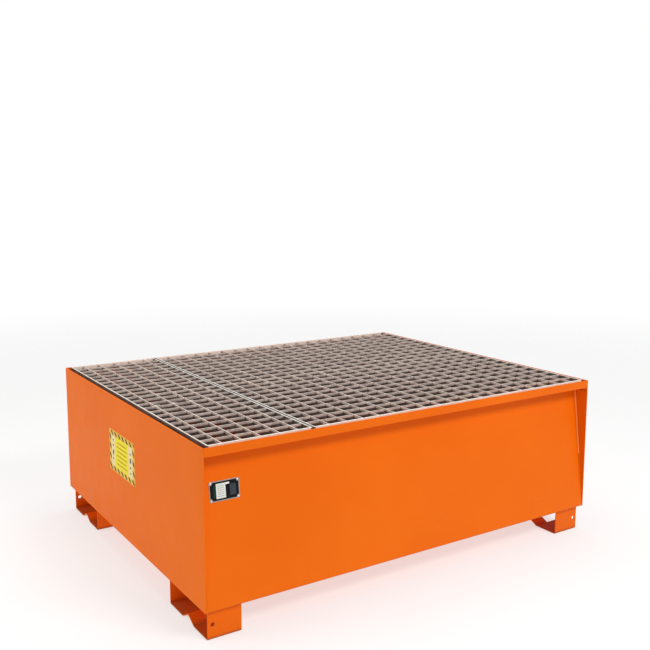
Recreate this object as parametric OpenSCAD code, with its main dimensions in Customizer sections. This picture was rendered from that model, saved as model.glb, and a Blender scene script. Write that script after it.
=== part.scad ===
// Steel spill containment pallet for one bulk container: a welded trough on four folded feet,
// covered by two lift-out walkable gratings. Units are millimetres, +Z is up, the front faces -Y,
// and the origin is under the middle of the pallet, on the floor.

/* [Overall size] */
// Length of the pallet along its front
pallet_length = 1650; // [1400:10:1800]
// Depth of the pallet from front to back
pallet_depth = 1325; // [1200:5:1500]
// Height of the trough from its underside to the rim
trough_height = 510; // [400:1:600]
// Clear height below the trough
foot_height = 97; // [80:1:130]

/* [Trough sheets] */
// Thickness of the folded trough sheet
trough_gauge = 3; // [2:0.5:5]
// Thickness of the flat end plates
end_plate = 4; // [3:0.5:6]
// Height of the upright lip along the front and back rims
lip_height = 31; // [25:1:45]
// Width of the ledges that carry the gratings
ledge_width = 60; // [40:1:80]
// Leg length of the weld beads where the walls meet the end plates
weld_leg = 5; // [3:1:8]
// Depth a weld bead keeps behind the edge of the end plate
weld_margin = 7; // [5:1:15]

/* [Support beam] */
// Width of the beam that carries the gratings at mid depth
beam_width = 60; // [40:1:100]
// Height of the support beam
beam_height = 80; // [50:1:120]
// Wall thickness of the support beam
beam_wall = 4; // [3:0.5:6]
// Gap between each beam end and its end plate
beam_end_gap = 2; // [1:0.5:6]
// Length of each beam seat, measured from its end plate
seat_length = 45; // [30:1:80]
// Height of the upright cheeks of a beam seat
seat_height = 40; // [25:1:60]
// Wall thickness of a beam seat
seat_wall = 4; // [3:0.5:6]
// Side clearance between the beam and a seat cheek
seat_clearance = 1; // [0.5:0.5:3]

/* [Feet] */
// Width of each foot along the front of the pallet
foot_width = 115; // [80:1:150]
// Length of each foot from front to back
foot_length = 284; // [200:2:340]
// Thickness of the folded foot strip
foot_strip = 4; // [3:0.5:8]
// Distance from the outer face of an end plate to the foot
foot_side_inset = 15; // [5:1:40]
// Distance from the front or back edge of the trough to the foot
foot_end_inset = 19; // [5:1:40]
// Length of the raised bridge between the two soles of a foot
bridge_length = 84; // [60:2:120]
// Height of the peak of the bridge above the floor
bridge_rise = 25; // [15:1:40]
// Width of the bridge
bridge_width = 61; // [30:1:80]
// Radius of the hole in each foot's outer flange
flange_hole_radius = 7; // [4:0.5:12]
// Distance from the outer edge of the flange to the hole centre
flange_hole_edge = 17; // [12:1:40]
// Height of the hole above the floor
flange_hole_height = 48; // [30:1:70]

/* [Gratings] */
// Height of the bearing bars and of the edge bands
bar_height = 30; // [25:1:40]
// Thickness of a bearing bar
bar_thickness = 3; // [2:0.5:5]
// Spacing of the bearing bars
bar_pitch = 66; // [33:1:70]
// Bearing bars in the small grating
small_bar_count = 5; // [3:1:9]
// Bearing bars in the large grating
large_bar_count = 18; // [8:1:24]
// Height of the cross bars pressed into the bearing bars
cross_bar_height = 10; // [8:1:16]
// Thickness of a cross bar
cross_bar_thickness = 2; // [1.5:0.5:4]
// Number of cross bars in each grating
cross_bar_count = 22; // [12:1:40]
// Distance from the front edge of the pallet to the first cross bar
cross_bar_start = 71; // [40:1:100]
// Thickness of the edge bands round each grating
band_thickness = 5; // [3:0.5:8]
// Width of the small grating
small_grating_width = 364; // [300:1:600]
// Gap between the two gratings
seam_gap = 8; // [3:1:15]
// Gap between a grating and the lip in front of or behind it
lip_gap = 10; // [4:1:20]
// Small gap between the gratings and the ledges and beam below them
rest_gap = 0.3; // [0.3:0.1:1]
// Gap between a grating and the outer face of the nearer end plate
side_gap = 20; // [10:1:30]

/* [Nameplate and placard] */
// Width of the nameplate on the front wall
nameplate_width = 102; // [80:1:140]
// Height of the nameplate
nameplate_height = 62; // [40:1:90]
// Thickness of the nameplate
nameplate_sheet = 1; // [0.8:0.1:2]
// Distance from the left end of the pallet to the nameplate centre
nameplate_from_left = 90; // [70:1:200]
// Height of the nameplate centre above the floor
nameplate_centre_height = 452; // [300:1:500]
// Radius of a nameplate rivet head
rivet_radius = 3; // [2:0.5:5]
// Height of a nameplate rivet head
rivet_height = 1.6; // [1:0.1:3]
// Distance from the nameplate edges to a rivet centre
rivet_edge = 5; // [4:0.5:12]
// Length of the placard on the left end plate
placard_length = 250; // [200:1:320]
// Height of the placard
placard_height = 154; // [100:1:220]
// Thickness of the placard
placard_sheet = 0.5; // [0.4:0.1:2]
// Distance from the middle of the left side to the placard centre, towards the back
placard_offset = 16; // [-100:1:100]
// Height of the placard centre above the floor
placard_centre_height = 400; // [250:1:480]

/* [Hidden] */
$fn = 48;
touch = 1;
half_length = pallet_length / 2;
half_depth = pallet_depth / 2;
rim_z = foot_height + trough_height;
ledge_z = rim_z - lip_height + trough_gauge;
wall_run = ledge_width;
wall_rise = rim_z - lip_height - foot_height;
wall_angle = atan(wall_run / wall_rise);
wall_slice = trough_gauge / cos(wall_angle);
inner_length = pallet_length - 2 * end_plate;
foot_corner_x = half_length - foot_side_inset - foot_width;
foot_corner_y = half_depth - foot_end_inset - foot_length;
sole_length = (foot_length - bridge_length) / 2;
beam_length = inner_length - 2 * beam_end_gap;
seat_width = beam_width + 2 * seat_clearance + 2 * seat_wall;
seat_floor_z = ledge_z - beam_height - seat_wall;
grating_depth = pallet_depth - 2 * trough_gauge - 2 * lip_gap;
grating_z = ledge_z + rest_gap;
small_left = -half_length + side_gap;
large_left = small_left + small_grating_width + seam_gap;
large_grating_width = half_length - side_gap - large_left;
cross_bar_pitch = (pallet_depth - 2 * cross_bar_start) / (cross_bar_count - 1);
orange = [0.89, 0.30, 0.05];
zinc = [0.62, 0.61, 0.58];
silver = [0.78, 0.78, 0.76];
yellow = [0.93, 0.80, 0.12];

// Distance of the front wall's outer face behind the front edge of the pallet, at height z.
function wall_setback(z) = wall_run * (z - foot_height) / wall_rise;

// Front half of the trough's folded section as [y, z] points, from the floor round the lip and back.
function front_outline() = [
    [-half_depth, foot_height],
    [-half_depth + wall_run, rim_z - lip_height],
    [-half_depth, rim_z - lip_height],
    [-half_depth, rim_z],
    [-half_depth + trough_gauge, rim_z],
    [-half_depth + trough_gauge, ledge_z],
    [-half_depth + wall_setback(ledge_z) + wall_slice, ledge_z],
    [-half_depth + wall_setback(foot_height + trough_gauge) + wall_slice, foot_height + trough_gauge],
];

// The same points for the back, in the order that closes the section.
function back_outline() = [
    for (i = [len(front_outline()) - 1 : -1 : 0]) [-front_outline()[i][0], front_outline()[i][1]]
];

// Height of the cross bar notches above the underside of a bearing bar.
function notch_floor() = bar_height - cross_bar_height;

// Position of a cross bar along the depth of the pallet.
function cross_bar_y(i) = -half_depth + cross_bar_start + i * cross_bar_pitch;

// Extrudes a [y, z] section towards +X from x for the given length.
module along_x(x, length) {
    translate([x, 0, 0])
        rotate([90, 0, 90])
            linear_extrude(height = length)
                children();
}

// Folded sheet that forms both lips, both ledges, both leaning walls and the floor.
module trough() {
    color(orange)
        along_x(-inner_length / 2, inner_length)
            polygon(concat(front_outline(), back_outline()));
}

// Flat plate that closes one end of the trough, with its left face at x.
module end_plate_at(x) {
    color(orange)
        translate([x, -half_depth, foot_height])
            cube([end_plate, pallet_depth, trough_height]);
}

// One weld bead lying in the corner between a leaning wall and an end plate. It starts where the
// wall is set back far enough to hide it behind the edge of the end plate.
module weld_bead(end, face) {
    bead_start = weld_margin / sin(wall_angle);
    bead_length = wall_rise / cos(wall_angle) - bead_start - weld_leg;
    translate([end * inner_length / 2, face * half_depth, foot_height])
        rotate([face * wall_angle, 0, 0])
            translate([0, 0, bead_start])
                linear_extrude(height = bead_length)
                    polygon([[0, 0], [-end * weld_leg, 0], [0, face * weld_leg]]);
}

// Folded foot: two flanges, the outer one with a hole, two soles and the raised bridge between them.
// side is -1 for a left foot and 1 for a right foot, and face is -1 at the front and 1 at the back.
module foot(side, face) {
    left_x = side > 0 ? foot_corner_x : -foot_corner_x - foot_width;
    front_y = face > 0 ? foot_corner_y : -foot_corner_y - foot_length;
    hole_x = side > 0 ? foot_width - flange_hole_edge : flange_hole_edge;
    hole_y = face > 0 ? foot_length - foot_strip : 0;
    peak_y = foot_length / 2;
    color(orange)
        translate([left_x, front_y, 0]) {
            difference() {
                union() {
                    cube([foot_width, foot_strip, foot_height]);
                    translate([0, foot_length - foot_strip, 0])
                        cube([foot_width, foot_strip, foot_height]);
                    cube([foot_width, sole_length, foot_strip]);
                    translate([0, foot_length - sole_length, 0])
                        cube([foot_width, sole_length, foot_strip]);
                    along_x(0, bridge_width)
                        polygon([
                            [sole_length - foot_strip, 0],
                            [sole_length, 0],
                            [peak_y, bridge_rise - foot_strip],
                            [foot_length - sole_length, 0],
                            [foot_length - sole_length + foot_strip, 0],
                            [foot_length - sole_length + foot_strip, foot_strip],
                            [foot_length - sole_length, foot_strip],
                            [peak_y, bridge_rise],
                            [sole_length, foot_strip],
                            [sole_length - foot_strip, foot_strip],
                        ]);
                }
                translate([hole_x, hole_y - touch, flange_hole_height])
                    rotate([-90, 0, 0])
                        cylinder(r = flange_hole_radius, h = foot_strip + 2 * touch);
            }
        }
}

// Channel open downwards that carries both gratings along the middle of the pallet.
module beam() {
    color(zinc)
        along_x(-beam_length / 2, beam_length)
            translate([-beam_width / 2, ledge_z - beam_height])
                difference() {
                    square([beam_width, beam_height]);
                    translate([beam_wall, -touch])
                        square([beam_width - 2 * beam_wall, beam_height - beam_wall + touch]);
                }
}

// Upturned saddle on an end plate that holds one end of the beam.
module beam_seat(x) {
    color(orange)
        along_x(x, seat_length)
            translate([-seat_width / 2, seat_floor_z])
                difference() {
                    square([seat_width, seat_height]);
                    translate([seat_wall, seat_wall])
                        square([seat_width - 2 * seat_wall, seat_height]);
                }
}

// Two flat bars that close the sides of a grating.
module side_bands(left, width) {
    color(zinc)
        for (x = [left, left + width - band_thickness])
            translate([x, -grating_depth / 2, grating_z])
                cube([band_thickness, grating_depth, bar_height]);
}

// Two flat bars that close the front and back of a grating.
module end_bands(left, width) {
    color(zinc)
        for (y = [-grating_depth / 2, grating_depth / 2 - band_thickness])
            translate([left + band_thickness, y, grating_z])
                cube([width - 2 * band_thickness, band_thickness, bar_height]);
}

// Bearing bars that span a grating from front to back, notched for the cross bars.
module bearing_bars(left, width, count) {
    bar_length = grating_depth - 2 * band_thickness;
    first_x = left + (width - (count - 1) * bar_pitch - bar_thickness) / 2;
    color(zinc)
        for (i = [0 : count - 1])
            along_x(first_x + i * bar_pitch, bar_thickness)
                difference() {
                    translate([-bar_length / 2, grating_z])
                        square([bar_length, bar_height]);
                    for (j = [0 : cross_bar_count - 1])
                        translate([cross_bar_y(j) - cross_bar_thickness / 2, grating_z + notch_floor()])
                            square([cross_bar_thickness, cross_bar_height + touch]);
                }
}

// Cross bars that lie in the notches, flush with the top of the bearing bars.
module cross_bars(left, width) {
    color(zinc)
        for (j = [0 : cross_bar_count - 1])
            translate([
                left + band_thickness,
                cross_bar_y(j) - cross_bar_thickness / 2,
                grating_z + notch_floor()
            ])
                cube([width - 2 * band_thickness, cross_bar_thickness, cross_bar_height]);
}

// Places its children on the leaning front wall, flat on it and centred on the nameplate.
module on_front_wall() {
    translate([
        -half_length + nameplate_from_left,
        -half_depth + wall_setback(nameplate_centre_height),
        nameplate_centre_height
    ])
        rotate([90 - wall_angle, 0, 0])
            children();
}

module left_end_plate() {
    end_plate_at(-half_length);
}

module right_end_plate() {
    end_plate_at(half_length - end_plate);
}

module corner_welds() {
    color(orange)
        for (end = [-1, 1], face = [-1, 1])
            weld_bead(end, face);
}

module support_beam() {
    beam();
}

module beam_seat_left() {
    beam_seat(-inner_length / 2);
}

module beam_seat_right() {
    beam_seat(inner_length / 2 - seat_length);
}

module foot_front_left() {
    foot(-1, -1);
}

module foot_front_right() {
    foot(1, -1);
}

module foot_rear_left() {
    foot(-1, 1);
}

module foot_rear_right() {
    foot(1, 1);
}

module small_bearing_bars() {
    bearing_bars(small_left, small_grating_width, small_bar_count);
}

module small_cross_bars() {
    cross_bars(small_left, small_grating_width);
}

module small_side_bands() {
    side_bands(small_left, small_grating_width);
}

module small_end_bands() {
    end_bands(small_left, small_grating_width);
}

module large_bearing_bars() {
    bearing_bars(large_left, large_grating_width, large_bar_count);
}

module large_cross_bars() {
    cross_bars(large_left, large_grating_width);
}

module large_side_bands() {
    side_bands(large_left, large_grating_width);
}

module large_end_bands() {
    end_bands(large_left, large_grating_width);
}

module nameplate() {
    color(silver)
        on_front_wall()
            translate([-nameplate_width / 2, -nameplate_height / 2, 0])
                cube([nameplate_width, nameplate_height, nameplate_sheet]);
}

module nameplate_rivets() {
    color(silver)
        on_front_wall()
            for (x = [-1, 1], y = [-1, 1])
                translate([
                    x * (nameplate_width / 2 - rivet_edge),
                    y * (nameplate_height / 2 - rivet_edge),
                    nameplate_sheet
                ])
                    cylinder(r1 = rivet_radius, r2 = rivet_radius / 2, h = rivet_height);
}

module placard() {
    color(yellow)
        translate([
            -half_length - placard_sheet,
            placard_offset - placard_length / 2,
            placard_centre_height - placard_height / 2
        ])
            cube([placard_sheet, placard_length, placard_height]);
}

trough();
left_end_plate();
right_end_plate();
corner_welds();
support_beam();
beam_seat_left();
beam_seat_right();
foot_front_left();
foot_front_right();
foot_rear_left();
foot_rear_right();
small_bearing_bars();
small_cross_bars();
small_side_bands();
small_end_bands();
large_bearing_bars();
large_cross_bars();
large_side_bands();
large_end_bands();
nameplate();
nameplate_rivets();
placard();
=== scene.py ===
"""Spill containment pallet: an orange powder-coated steel trough on four folded feet, covered by two
galvanised lift-out gratings. Everything is in metres, +Z up, with the front facing -Y."""

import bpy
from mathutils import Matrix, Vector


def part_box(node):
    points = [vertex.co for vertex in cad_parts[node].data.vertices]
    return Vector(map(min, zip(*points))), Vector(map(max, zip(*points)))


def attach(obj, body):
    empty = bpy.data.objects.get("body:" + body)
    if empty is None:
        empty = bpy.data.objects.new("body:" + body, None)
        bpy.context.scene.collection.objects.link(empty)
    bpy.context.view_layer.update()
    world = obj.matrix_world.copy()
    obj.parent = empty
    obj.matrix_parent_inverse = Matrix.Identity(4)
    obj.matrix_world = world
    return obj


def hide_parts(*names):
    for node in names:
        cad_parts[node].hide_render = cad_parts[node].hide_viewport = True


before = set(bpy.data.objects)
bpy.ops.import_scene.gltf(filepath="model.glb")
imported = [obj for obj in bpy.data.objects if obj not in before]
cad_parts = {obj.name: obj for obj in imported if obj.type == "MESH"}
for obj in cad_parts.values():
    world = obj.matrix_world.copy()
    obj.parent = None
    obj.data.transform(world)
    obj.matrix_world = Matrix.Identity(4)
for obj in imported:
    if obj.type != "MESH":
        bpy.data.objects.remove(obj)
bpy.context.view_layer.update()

import math

import bmesh
import bpy
from mathutils import Matrix, Vector

# ---- sizes

TROUGH_LOW, TROUGH_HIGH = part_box("trough")
HALF_DEPTH = TROUGH_HIGH.y
INNER_HALF = TROUGH_HIGH.x
RIM_Z = TROUGH_HIGH.z
FLOOR_Z = TROUGH_LOW.z
SHEET = 0.003
SHEET_BEND = 0.004
LIP_HEIGHT = 0.031
LEDGE_WIDTH = 0.060
LEDGE_Z = RIM_Z - LIP_HEIGHT + SHEET
WALL_RISE = RIM_Z - LIP_HEIGHT - FLOOR_Z
WALL_ANGLE = math.atan(LEDGE_WIDTH / WALL_RISE)
OUTER_BEAD = 0.0042
LOWER_BEAD = 0.0022
INNER_BEAD = 0.0036
FOOT_BEAD = 0.0020
FILLET_RADIUS = 0.012

STRIP = 0.004
STRIP_BEND = 0.005
SOLE_LENGTH = 0.100
BRIDGE_RISE = 0.025
BRIDGE_WIDTH = 0.061
FLANGE_HOLE_RADIUS = 0.007
FLANGE_HOLE_EDGE = 0.017
FLANGE_HOLE_HEIGHT = 0.048
CHANNEL_WALL = 0.004

GRATING_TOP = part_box("large_side_bands")[1].z
BAR_THICKNESS = 0.003
BAR_PITCH = 0.066
BAND = 0.005
CROSS_HEIGHT = 0.010
CROSS_THICKNESS = 0.002
CROSS_COUNT = 22
CROSS_START = 0.071
CROSS_PITCH = (2 * HALF_DEPTH - 2 * CROSS_START) / (CROSS_COUNT - 1)

NAMEPLATE_WIDTH = 0.102
NAMEPLATE_HEIGHT = 0.062
NAMEPLATE_SHEET = 0.001
RIVET_SPREAD_X = 0.092
RIVET_SPREAD_Y = 0.052

PLACARD_MARGIN = 0.003
PLACARD_BORDER = 0.0155
PLACARD_COLUMN = 0.042
STRIPE_PITCH = 0.0365
STRIPE_WIDTH = 0.0145


# ---- nodes

def feed(tree, sockets, values):
    """Links each named or numbered socket, or sets it to a number, colour or vector."""
    for name, value in values.items():
        socket = sockets[name]
        if isinstance(value, bpy.types.NodeSocket):
            tree.links.new(value, socket)
        elif socket.type == "RGBA":
            socket.default_value = (*value, 1.0)
        else:
            socket.default_value = value


def node(tree, kind, inputs=None, **settings):
    """Adds a shader or geometry node, sets its plain properties and feeds its inputs."""
    made = tree.nodes.new(kind)
    place = len(tree.nodes)
    made.location = (220 * (place % 8) - 900, -260 * (place // 8))
    for name, value in settings.items():
        setattr(made, name, value)
    feed(tree, made.inputs, inputs or {})
    return made


def maths(tree, operation, *values, clamp=False):
    """A Math node fed by sockets or numbers, giving its output socket."""
    return node(tree, "ShaderNodeMath", dict(enumerate(values)), operation=operation,
                use_clamp=clamp).outputs[0]


def product(tree, *values, clamp=False):
    """Multiplies sockets and numbers. With clamp, the last product stays between 0 and 1."""
    total = values[0]
    for i, value in enumerate(values[1:], 2):
        total = maths(tree, "MULTIPLY", total, value, clamp=clamp and i == len(values))
    return total


def ranged(tree, value, low, high, to_low=0.0, to_high=1.0, **settings):
    """A Map Range node from low..high to to_low..to_high, clamped."""
    return node(tree, "ShaderNodeMapRange", {
        "Value": value, "From Min": low, "From Max": high, "To Min": to_low, "To Max": to_high,
    }, **settings).outputs["Result"]


def noise(tree, vector, scale, detail=3.0, roughness=0.5):
    return node(tree, "ShaderNodeTexNoise", {
        "Vector": vector, "Scale": scale, "Detail": detail, "Roughness": roughness,
    }).outputs["Fac"]


def blended(tree, factor, first, second):
    """A colour mix between two sockets or colours."""
    made = node(tree, "ShaderNodeMix", {"Factor": factor}, data_type="RGBA")
    feed(tree, [s for s in made.inputs if s.type == "RGBA"], {0: first, 1: second})
    return [s for s in made.outputs if s.type == "RGBA"][0]


def parts(tree, vector):
    """The X, Y and Z sockets of a vector."""
    return node(tree, "ShaderNodeSeparateXYZ", {0: vector}).outputs


def facing_up(tree, low, high):
    """How much the surface faces up, from 0 where its normal's Z is low to 1 where it is high."""
    normal = node(tree, "ShaderNodeNewGeometry").outputs["Normal"]
    return ranged(tree, parts(tree, normal)["Z"], low, high)


# ---- shared wear, texture, painted light and painted shade groups

def new_group(name, values, results=("Mask",)):
    """A shader node group fed by a Position and named values, with its input and output sockets."""
    group = bpy.data.node_groups.new(name, "ShaderNodeTree")
    group.interface.new_socket("Position", in_out="INPUT", socket_type="NodeSocketVector")
    for socket_name, value in values.items():
        group.interface.new_socket(socket_name, in_out="INPUT",
                                   socket_type="NodeSocketFloat").default_value = value
    for socket_name in results:
        group.interface.new_socket(socket_name, in_out="OUTPUT", socket_type="NodeSocketFloat")
    return group, node(group, "NodeGroupInput").outputs, node(group, "NodeGroupOutput").inputs


def dust_group():
    """Mask of settled dust: stronger on surfaces that face up, broken up by noise."""
    group, given, result = new_group("settled_dust", {"Amount": 0.4})
    patches = ranged(group, noise(group, given["Position"], 9.0, 6.0, 0.65), 0.42, 0.72)
    speckle = ranged(group, noise(group, given["Position"], 240.0, 2.0), 0.52, 0.70)
    broken = maths(group, "ADD", patches, product(group, speckle, 0.35))
    mask = product(group, facing_up(group, 0.35, 0.95), broken, given["Amount"], clamp=True)
    feed(group, result, {"Mask": mask})
    return group


def scuff_group():
    """Mask of thin directional scratches inside soft worn patches."""
    group, given, result = new_group("scuffs", {"Patch Size": 6.0, "Amount": 0.5})
    stretch = node(group, "ShaderNodeMapping", {
        "Vector": given["Position"], "Rotation": (0.5, 0.35, 0.2), "Scale": (26.0, 420.0, 420.0)})
    lines = ranged(group, noise(group, stretch.outputs["Vector"], 1.0, 2.0), 0.66, 0.74)
    where = ranged(group, noise(group, given["Position"], given["Patch Size"], 2.0), 0.52, 0.66)
    feed(group, result, {"Mask": product(group, lines, where, given["Amount"], clamp=True)})
    return group


def peel_group():
    """Height of the fine orange-peel texture of sprayed or dipped finishes, with slow waves."""
    group, given, result = new_group(
        "surface_peel", {"Peel Scale": 300.0, "Waviness": 0.5}, ["Height"])
    fine = noise(group, given["Position"], given["Peel Scale"], 1.5)
    slow = noise(group, given["Position"], 7.0, 1.0)
    height = maths(group, "ADD", product(group, fine, 0.12),
                   product(group, slow, given["Waviness"]))
    feed(group, result, {"Height": height})
    return group


def spangle_group():
    """Zinc crystals: a flat value for each crystal, with feathered grain inside it."""
    group, given, result = new_group("zinc_spangle", {"Crystal Scale": 70.0}, ["Crystal", "Bloom"])
    warp = node(group, "ShaderNodeTexNoise", {"Vector": given["Position"], "Scale": 55.0})
    moved = node(group, "ShaderNodeVectorMath", {
        0: warp.outputs["Color"], 1: (0.012, 0.012, 0.012), 2: given["Position"],
    }, operation="MULTIPLY_ADD")
    cells = node(group, "ShaderNodeTexVoronoi", {
        "Vector": moved.outputs[0], "Scale": given["Crystal Scale"]})
    tone = node(group, "ShaderNodeSeparateColor", {0: cells.outputs["Color"]}).outputs[0]
    grain = noise(group, given["Position"], 900.0, 2.0)
    crystal = maths(group, "ADD", product(group, tone, 0.85), product(group, grain, 0.15))
    bloom = ranged(group, noise(group, given["Position"], 14.0, 6.0, 0.7), 0.48, 0.74)
    feed(group, result, {"Crystal": crystal, "Bloom": bloom})
    return group


def grime_and_shade_group():
    """Mask that thickens downwards from a clear height to a dark height: painted shade deep in the
    trough and low between grating bars, and grime round the foot soles.
    """
    group, given, result = new_group(
        "grime_and_painted_shade", {"Clean Height": 0.6, "Dirty Height": 0.5, "Amount": 0.7})
    fall = ranged(group, parts(group, given["Position"])["Z"], given["Dirty Height"],
                  given["Clean Height"], 1.0, 0.0, interpolation_type="SMOOTHSTEP")
    uneven = ranged(group, noise(group, given["Position"], 22.0, 5.0, 0.6), 0.3, 0.7, 0.86, 1.0)
    feed(group, result, {"Mask": product(group, fall, uneven, given["Amount"], clamp=True)})
    return group


def sump_group():
    """Mask that is 1 on the surfaces inside the trough and 0 on those outside it."""
    group, given, result = new_group("inside_sump", {
        "Half Depth": 0.66, "Wall Slope": 0.125, "Half Length": 0.823, "Floor Height": 0.098})
    spot = parts(group, given["Position"])
    rise = maths(group, "SUBTRACT", spot["Z"], given["Floor Height"])
    wall = maths(group, "SUBTRACT", given["Half Depth"], product(group, rise, given["Wall Slope"]))
    room = rise
    for limit, axis in ((wall, "Y"), (given["Half Length"], "X")):
        gap = maths(group, "SUBTRACT", limit, maths(group, "ABSOLUTE", spot[axis]))
        room = maths(group, "MINIMUM", room, gap)
    feed(group, result, {"Mask": ranged(group, room, -0.0004, 0.0004)})
    return group


def lit_tops_group():
    """Mask of painted top light: the upward faces are lightened because light falls on them from
    above.
    """
    group, given, result = new_group("painted_top_light", {"Amount": 0.8})
    patchy = ranged(group, noise(group, given["Position"], 30.0, 4.0, 0.6), 0.3, 0.65, 0.55, 1.0)
    mask = product(group, facing_up(group, 0.45, 0.85), patchy, given["Amount"], clamp=True)
    feed(group, result, {"Mask": mask})
    return group


DUST = dust_group()
SCUFFS = scuff_group()
PEEL = peel_group()
SPANGLE = spangle_group()
GRIME_AND_SHADE = grime_and_shade_group()
SUMP = sump_group()
LIT_TOPS = lit_tops_group()


# ---- materials

BARE_SCUFF = (0.93, 0.50, 0.26)
DUST_TONE = (0.55, 0.42, 0.32)
# Painted shade: the dark tone deep inside the trough; the same colour darkens the grime round the
# foot soles.
SHADE_AND_GRIME_TONE = (0.085, 0.030, 0.016)
# Painted shade low down between the grating bars and bands.
BAR_SHADE_TONE = (0.050, 0.026, 0.017)
# Painted light: the near-white tone that the upward zinc faces are lightened towards.
TOP_LIGHT_ZINC = (0.95, 0.92, 0.86)


def new_material(name):
    """An empty node material, its Principled shader's inputs and the Object coordinates."""
    material = bpy.data.materials.new(name)
    material.use_nodes = True
    tree = material.node_tree
    position = node(tree, "ShaderNodeTexCoord").outputs["Object"]
    return material, tree, tree.nodes["Principled BSDF"].inputs, position


def placed(tree, group, position, **values):
    """Places a node group in a material, fed with the position and its own values."""
    named = {name.replace("_", " ").title(): value for name, value in values.items()}
    return node(tree, "ShaderNodeGroup", {"Position": position, **named}, node_tree=group).outputs


def bumped(tree, shader, height, strength, distance):
    bump = node(tree, "ShaderNodeBump", {
        "Height": height, "Strength": strength, "Distance": distance})
    feed(tree, shader, {"Normal": bump.outputs["Normal"]})


def peeled(tree, shader, position, scale, waviness, strength, distance):
    """Gives a material the fine peel of its finish."""
    peel = placed(tree, PEEL, position, peel_scale=scale, waviness=waviness)
    bumped(tree, shader, peel["Height"], strength, distance)


def powder_coat(name, colour, deep, dust_amount, scuff_amount, gloss=0.08, sole_grime=0.0):
    """Sprayed powder coating: even colour, soft gloss, fine peel, a little dust, a few scuffs,
    painted shade that deepens towards the floor inside the trough, and grime round the soles."""
    material, tree, shader, position = new_material(name)
    slow = noise(tree, position, 2.6, 3.0, 0.55)
    base = blended(tree, ranged(tree, slow, 0.35, 0.7), colour, deep)
    dust = placed(tree, DUST, position, amount=dust_amount)["Mask"]
    scuffs = placed(tree, SCUFFS, position, patch_size=4.5, amount=scuff_amount)["Mask"]
    inside = placed(tree, SUMP, position, half_depth=HALF_DEPTH - SHEET / 2,
                    half_length=INNER_HALF + 0.002, wall_slope=LEDGE_WIDTH / WALL_RISE,
                    floor_height=FLOOR_Z + SHEET / 2)["Mask"]
    # Painted shade: inside the trough the coat darkens towards the floor, standing in for the shade
    # there.
    painted_shade = placed(tree, GRIME_AND_SHADE, position, clean_height=LEDGE_Z - 0.004,
                   dirty_height=LEDGE_Z - 0.12, amount=0.80)["Mask"]
    shade_and_grime = product(tree, inside, painted_shade)
    if sole_grime:
        low = placed(tree, GRIME_AND_SHADE, position, clean_height=0.016, dirty_height=-0.004,
                     amount=sole_grime)["Mask"]
        shade_and_grime = maths(tree, "MAXIMUM", shade_and_grime, low)
    dusted = blended(tree, dust, blended(tree, scuffs, base, BARE_SCUFF), DUST_TONE)
    satin = ranged(tree, noise(tree, position, 18.0, 4.0), 0.3, 0.7, 0.32, 0.42)
    film = product(tree, maths(tree, "MAXIMUM", dust, shade_and_grime), 0.35)
    feed(tree, shader, {
        "Base Color": blended(tree, shade_and_grime, dusted, SHADE_AND_GRIME_TONE),
        "Roughness": maths(tree, "ADD", satin, film, clamp=True),
        "Specular IOR Level": gloss,
    })
    peeled(tree, shader, position, 420.0, 1.0, 0.35, 0.0012)
    return material


def galvanised(name, light, dark, chalk, metal_share, clean_height, dirty_height, shade_amount):
    """Weathered hot-dip zinc: crystals that differ a little in tone and gloss, chalky patches,
    painted light on the upward faces, and painted shade that deepens low between the bars."""
    material, tree, shader, position = new_material(name)
    zinc = placed(tree, SPANGLE, position, crystal_scale=75.0)
    base = blended(tree, zinc["Crystal"], dark, light)
    chalky = product(tree, zinc["Bloom"], 0.5)
    # Painted light: the upward faces are lightened towards a near-white zinc.
    lit_tops = placed(tree, LIT_TOPS, position, amount=0.85)["Mask"]
    top_lit = blended(tree, lit_tops, blended(tree, chalky, base, chalk), TOP_LIGHT_ZINC)
    # Painted shade: the zinc darkens low down between the bars.
    painted_shade = placed(tree, GRIME_AND_SHADE, position, clean_height=clean_height, dirty_height=dirty_height,
                   amount=shade_amount)["Mask"]
    gloss = ranged(tree, zinc["Crystal"], 0.0, 1.0, 0.36, 0.52)
    dulled = product(tree, maths(tree, "MAXIMUM", chalky, painted_shade), 0.3)
    hidden = maths(tree, "MAXIMUM", product(tree, chalky, 0.8), painted_shade)
    feed(tree, shader, {
        "Base Color": blended(tree, painted_shade, top_lit, BAR_SHADE_TONE),
        "Roughness": maths(tree, "ADD", gloss, dulled, clamp=True),
        "Metallic": ranged(tree, hidden, 0.0, 1.0, metal_share, 0.0),
    })
    peeled(tree, shader, position, 260.0, 0.6, 0.4, 0.0010)
    return material


def printed(name, colour, second, roughness):
    """Printed film or ink: nearly even colour with a faint mottle and a slight texture."""
    material, tree, shader, position = new_material(name)
    mottle = ranged(tree, noise(tree, position, 380.0, 3.0), 0.35, 0.7)
    satin = ranged(tree, noise(tree, position, 45.0, 4.0), 0.3, 0.7,
                   roughness - 0.05, roughness + 0.08)
    feed(tree, shader, {
        "Base Color": blended(tree, mottle, colour, second),
        "Roughness": satin,
        "Specular IOR Level": 0.08,
    })
    peeled(tree, shader, position, 700.0, 0.3, 0.15, 0.0005)
    return material


def satin_aluminium(name, dark, light):
    """Rolled aluminium sheet with fine lines along its length."""
    material, tree, shader, position = new_material(name)
    lines = node(tree, "ShaderNodeMapping", {
        "Vector": position, "Scale": (8.0, 900.0, 900.0)}).outputs["Vector"]
    streak = noise(tree, lines, 1.0, 3.0)
    feed(tree, shader, {
        "Base Color": blended(tree, ranged(tree, streak, 0.3, 0.7), dark, light),
        "Roughness": ranged(tree, streak, 0.3, 0.7, 0.24, 0.38),
        "Metallic": 1.0,
    })
    bumped(tree, shader, streak, 0.2, 0.0002)
    return material


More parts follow.
